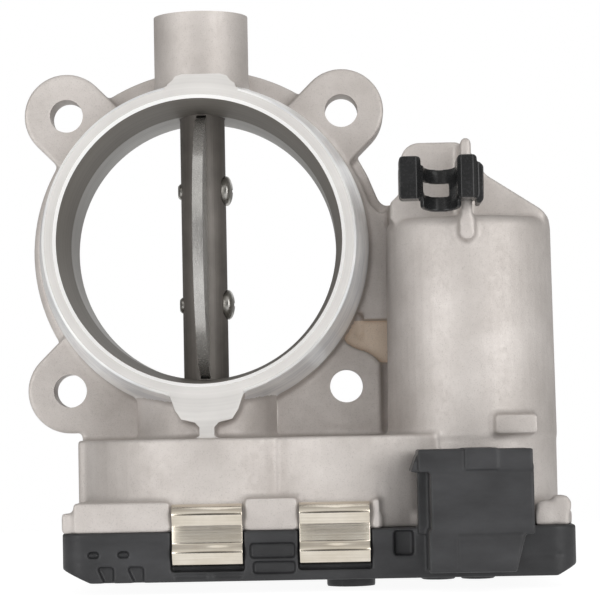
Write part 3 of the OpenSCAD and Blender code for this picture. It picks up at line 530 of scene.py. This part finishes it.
def crisp_stock():
    """Tongues and rib, added after the softening so that their outlines stay sharp. Each step of a tongue
    is how far it goes past half the width, and how far from the bore axis."""
    stock = [box("stock_rib", (TONGUE_X - RIB_T, FRONT - SPARE, -48.8), (TONGUE_X + RIB_T, -36, -40))]
    for side, steps in ((1, [(1.3, 37), (0.9, 38.4), (-0.2, 39.2), (-1, 40.3), (-2.7, 40.8)]),
                        (-1, [(1.9, 37), (0.4, 41.3), (-1.1, 43.6), (-4.4, 44.4), (-5.5, 45.6)])):
        half = [(TONGUE_HALF + past, height * side) for past, height in steps]
        outline = [(TONGUE_X - w, z) for w, z in half] + [(TONGUE_X + w, z) for w, z in half[::-1]]
        stock.append(prism("stock_tongue", outline, FRONT - SPARE, -30))
    return stock


def machining():
    """The cutters: bore, faces, collar's rim, bolt holes, boss and shaft hole."""
    rim = lathe("cut_rim", rod(41, FRONT - 3, FRONT + 2))
    core_r = COLLAR_R - RIM
    tongues = [box("tongue_room", (TONGUE_X - 9, FRONT - 5, low), (TONGUE_X + 9, FRONT + 5, low + 12))
               for low in (36.4, -48.4)]
    core = lathe("core", [(0, FRONT - 5), (core_r - 5, FRONT - 5), (core_r + 5, FRONT + 5), (0, FRONT + 5)])
    combine(rim, [core, *tongues], "DIFFERENCE")
    bore = [(0, FRONT - 4), (MOUTH_R + 4.8, FRONT - 4), (MOUTH_R, FRONT + 0.8), (BORE_R, SHAFT_Y - 4),
            (BORE_R, -0.6), (BORE_R + 2.6, 2), (BORE_R + 2.6, 4), (0, 4)]
    seat = [(0, 36.9), (SEAT_R, 36.9), (SEAT_R, BOSS_TOP - 0.7), (SEAT_R + 1.7, BOSS_TOP + 1),
            (0, BOSS_TOP + 1)]
    cuts = [
        rim,
        lathe("cut_bore", bore),
        box("cut_front", (-43, FRONT - 8, -48.2), (43, FRONT, 43)),
        box("cut_back", (-60, 0, CASE_TOP), (47, 6, 70)),
        box("cut_boss", (-14, SHAFT_Y - 14, BOSS_TOP), (14, SHAFT_Y + 14, BOSS_TOP + 5)),
        placed(lathe("cut_seat", seat, 128), at(0, SHAFT_Y, 0) @ along_z()),
        placed(lathe("cut_shaft", rod(SHAFT_HOLE_R, -42, 38), 96), at(0, SHAFT_Y, 0) @ along_z()),
    ]
    for x in (-BOLT, BOLT):
        for z in (-BOLT, BOLT):
            hole = [(0, -16), (BOLT_R, -16), (BOLT_R, -0.4), (BOLT_R + 1.4, 1), (0, 1)]
            cuts.append(placed(lathe("cut_hole", hole, 64), at(x, 0, z)))
    return cuts


def machined_faces(ob):
    """The material of each face: 0 cast, 1 flat machined face, 2 collar's cone and rim in painted reflection,
    3 bore wall in painted shade, 4 mouth and rim edge in painted highlight, 5 bore behind the plate in
    painted light, 6 tan step beside the lower right ear in painted light."""
    centres, normals = face_facts(ob)
    x, y, z = centres.T
    r = np.hypot(x, z)
    inward = -(normals[:, 0] * x + normals[:, 2] * z) / np.maximum(r, 1e-6)
    choice = np.zeros(len(x), int)
    flat = np.abs(normals[:, 1]) > 0.999
    choice[flat & (np.abs(y - FRONT) < 0.03) & (r < 47)] = 1
    choice[flat & (np.abs(y) < 0.03)] = 1
    choice[(np.abs(z - BOSS_TOP) < 0.03) & (normals[:, 2] > 0.99)] = 1
    # Rim slope and collar cone: painted reflection, carried by the cone's material.
    slanted = (normals[:, 1] < -0.6) & (normals[:, 1] > -0.8) & (y < FRONT + 0.9)
    choice[slanted & (r > COLLAR_R - RIM - 0.05) & (r < 47)] = 2
    on_cone = np.abs(r - collar_radius(y)) < 0.5
    choice[on_cone & (inward < -0.9) & (y < CONE_END) & (choice == 0)] = 2
    # Bore wall in painted shade; its front end is an edge in painted highlight, its part behind the plate is
    # in painted light.
    wall = (r < MOUTH_R + 2.2) & (inward > 0.5) & (y > FRONT - 1) & (y < 0.1) & (np.abs(z) < 37)
    choice[wall] = 3
    choice[wall & (y < FRONT + 0.9)] = 4
    choice[wall & (y > SHAFT_Y - 4)] = 5
    # Flat front face at the collar's outer edge: painted highlight.
    choice[(choice == 1) & (y < FRONT + 1) & (r > COLLAR_R - 0.3)] = 4
    # Tan step beside the lower right ear: painted light in a recess that lies in shade.
    choice[(x > 33) & (x < 48) & (z < -18.8) & (z > -29.6) & (y > -10) & (y < -5) & (r > 42.2)] = 6
    return choice


def housing():
    ob = combine(copy_of("housing", "cast_housing"), casting_stock(), "UNION")
    filleted(ob, 0.55, 0.42)
    softened(ob, 4)
    combine(ob, crisp_stock(), "UNION")
    combine(ob, machining(), "DIFFERENCE")
    thinned(ob, 185000)
    split_along_y(ob, CONE_END)
    shaded(ob)
    given(ob, [CAST, FACE, CONE_PAINTED_REFLECTION, BORE_PAINTED_SHADE, EDGE_PAINTED_HIGHLIGHT, REAR_PAINTED_LIGHT, TAN_STEP_PAINTED_LIGHT], machined_faces(ob))
    return stands_for(ob, "root", "cast_aluminium", "housing")


# ---- moulded pieces ----


def cover():
    ob = voxels(copy_of("cover", "moulded_cover"), 0.36)
    softened(ob, 3)
    thinned(ob, 110000)
    return stands_for(given(shaded(ob, 40), [BLACK]), "root", "black_plastic", "cover")


def wire_clip():
    ob = voxels(copy_of("wire_clip", "loom_clip"), 0.22)
    softened(ob, 5)
    thinned(ob, 40000)
    return stands_for(given(shaded(ob, 50), [CLIP_BLACK]), "root", "clip_plastic", "wire_clip")


# ---- spring clips ----


def clip_outline(low, high, steps=64):
    """Inner line of a clip as (outward, z): hook, two rolls with a flat valley between, lower hook."""
    flat, roll, half = 0.7, 1.15, 2.4
    peaks = (high - 2.6, high - 11.7)
    inner = [(-CLIP_DEPTH, high - 0.6), (-0.3, high - 0.6), (0.3, high - 0.75)]
    z0, z1 = high - 1.2, low + 0.9
    for k in range(steps + 1):
        z = z0 + (z1 - z0) * k / steps
        off = min(min(abs(z - peak) for peak in peaks) / half, 1)
        inner.append((flat + roll * (0.5 + 0.5 * math.cos(math.pi * off)), z))
    return inner + [(0.3, low + 0.65), (-0.3, low + 0.6), (-CLIP_DEPTH, low + 0.6)]


def sheet_of(line, thick):
    """Both faces of a bent sheet, as one closed outline."""
    outer = []
    for k, (a, b) in enumerate(line):
        before, after = line[max(k - 1, 0)], line[min(k + 1, len(line) - 1)]
        da, db = after[0] - before[0], after[1] - before[1]
        size = math.hypot(da, db)
        outer.append((a - thick * db / size, b + thick * da / size))
    return line + outer[::-1]


def spring_clips():
    """Each clip is a bent nickel-plated sheet across its width, with eased side edges."""
    clips = []
    for low, high in islands("cover_clips"):
        front = low[1] < 0
        sign = -1 if front else 1
        face = high[1] - CLIP_DEPTH if front else low[1] + CLIP_DEPTH
        outline = [(face + sign * a, b) for a, b in sheet_of(clip_outline(low[2], high[2]), CLIP_SHEET)]
        ob = prism("spring_clip", outline, low[0], high[0], "X")
        modified(ob, "BEVEL", width=0.12 * MM, segments=2, limit_method="ANGLE", angle_limit=math.radians(60))
        clips.append(ob)
    for extra in clips[1:]:
        merge(clips[0], extra)
    clips[0].name = "nickel_clips"
    return stands_for(given(shaded(clips[0], 40), [NICKEL]), "root", "clip_steel", "cover_clips")


def merge(ob, other):
    """Adds the other object's mesh to ob's, without a boolean."""
    bm = bmesh.new()
    bm.from_mesh(ob.data)
    bm.from_mesh(other.data)
    bm.to_mesh(ob.data)
    bm.free()
    bpy.data.objects.remove(other)


# ---- plate screws ----


def screws():
    """Pan heads with a cross recess on one side of the shaft, staked ends on the other."""
    made = []
    for low, high in islands("plate_screws"):
        z = (low[2] + high[2]) / 2
        head_r = (high[2] - low[2]) / 2
        seat = high[0] - 2.9
        dome = [(head_r * math.cos(a), seat + 1.3 + 1.6 * math.sin(a))
                for a in np.linspace(0, math.pi / 2, 12)]
        profile = [(0, low[0]), (1.5, low[0]), (2, low[0] + 0.5), (2, seat), (head_r - 0.2, seat),
                   (head_r, seat + 0.3), *dome[:-1], (0, high[0])]
        ob = placed(lathe("screw", profile, 64), at(0, SHAFT_Y, z) @ along_x())
        cross = [box("slot", (seat + 1.1, SHAFT_Y - a, z - b), (high[0] + 1, SHAFT_Y + a, z + b))
                 for a, b in ((2.0, 0.42), (0.42, 2.0))]
        made.append(combine(ob, cross, "DIFFERENCE"))
    merge(made[0], made[1])
    made[0].name = "pan_screws"
    return stands_for(given(shaded(made[0], 40), [SCREW]), "throttle", "screw_steel", "plate_screws")


# ---- studio ----


def area_light(name, place, aim, size, power, glossy=True):
    data = bpy.data.lights.new(name, "AREA")
    data.shape = "RECTANGLE"
    data.size, data.size_y = size
    data.energy = power
    ob = bpy.data.objects.new(name, data)
    bpy.context.scene.collection.objects.link(ob)
    ob.visible_glossy = glossy
    facing = (Vector(aim) - Vector(place)).to_track_quat("-Z", "Y")
    ob.matrix_world = Matrix.Translation(place) @ facing.to_matrix().to_4x4()
    return ob


def studio():
    """White surroundings to look at, and a softer room to reflect, darker behind and about the lens."""
    world = bpy.data.worlds.new("studio")
    bpy.context.scene.world = world
    world.use_nodes = True
    tree = world.node_tree
    tree.nodes.clear()
    way = add(tree, "ShaderNodeSeparateXYZ", {"Vector": add(tree, "ShaderNodeTexCoord").outputs["Generated"]})
    up = ramp(tree, way.outputs["Z"], -0.4, 0.9, 1.0, 0.72)
    behind = ramp(tree, way.outputs["Y"], -0.85, 0.3, 1.0, 0.3)
    card = ramp(tree, way.outputs["Y"], -0.95, -0.82, 0.12, 1.0)
    sides = add(tree, "ShaderNodeMath", {0: up, 1: behind}, operation="MULTIPLY").outputs["Value"]
    level = add(tree, "ShaderNodeMath", {0: sides, 1: card}, operation="MULTIPLY")
    room = add(tree, "ShaderNodeBackground",
               {"Color": (1, 0.985, 0.965, 1), "Strength": level.outputs["Value"]})
    seen = add(tree, "ShaderNodeBackground", {"Color": (1, 1, 1, 1), "Strength": 1.0})
    rays = add(tree, "ShaderNodeLightPath")
    both = add(tree, "ShaderNodeMixShader",
               {0: rays.outputs["Is Camera Ray"], 1: room.outputs[0], 2: seen.outputs[0]})
    add(tree, "ShaderNodeOutputWorld", {"Surface": both.outputs[0]})
    centre = (0.027, -0.02, -0.01)
    area_light("key", (0.75, -0.9, 0.15), centre, (0.6, 0.8), 4)
    area_light("fill", (-0.7, -0.85, -0.02), centre, (0.6, 0.8), 3.6)
    area_light("front", (0.03, -1.3, -0.05), centre, (0.6, 0.6), 6.8, glossy=False)
    area_light("top", (0.1, -0.1, 0.9), centre, (0.6, 0.5), 0.5)
    area_light("back", (0.3, 0.9, 0.4), centre, (0.7, 0.5), 0.8)


def floor():
    """A plain pale floor: bright to look at and dimmer in reflections."""
    lowest = CAD_BOX[0].z
    bm = bmesh.new()
    bmesh.ops.create_circle(bm, cap_ends=True, segments=96, radius=0.4)
    ob = from_bmesh("floor", bm)
    ob.location.z = lowest - 0.0002

    def fill(tree):
        rays = add(tree, "ShaderNodeLightPath").outputs["Is Camera Ray"]
        clouds = noise(tree, stretched(tree, (1, 1, 1)), 3)
        pale = mix_colors(tree, clouds, (0.2, 0.2, 0.2), (0.22, 0.22, 0.22))
        return {"Base Color": pale, "Emission Strength": ramp(tree, rays, 0, 1, 0.72, 0.93)}

    mat = new_material("pale_floor", fill, Roughness=0.9, Emission_Color=(1, 1, 1, 1))
    given(ob, [mat])


def camera():
    """The view of the picture: almost along the bore from the inlet side, a little low and to the right."""
    data = bpy.data.cameras.new("camera")
    data.sensor_width = 36
    data.lens = 156
    data.clip_start = 0.05
    ob = bpy.data.objects.new("camera", data)
    bpy.context.scene.collection.objects.link(ob)
    place = Vector((0.03266, -0.6781, -0.04805))
    toward = Vector((-0.0130, 0.99856, 0.05206))
    roll = math.radians(1.1)
    side = toward.cross(Vector((0, 0, 1))).normalized()
    up = side.cross(toward)
    right = side * math.cos(roll) - up * math.sin(roll)
    turn = Matrix((right, right.cross(toward), -toward)).transposed()
    ob.matrix_world = Matrix.Translation(place) @ turn.to_4x4()
    bpy.context.scene.camera = ob


camera()
studio()
floor()
paint_nodes()
housing()
cover()
wire_clip()
spring_clips()
screws()
bpy.context.scene.view_settings.view_transform = "Standard"
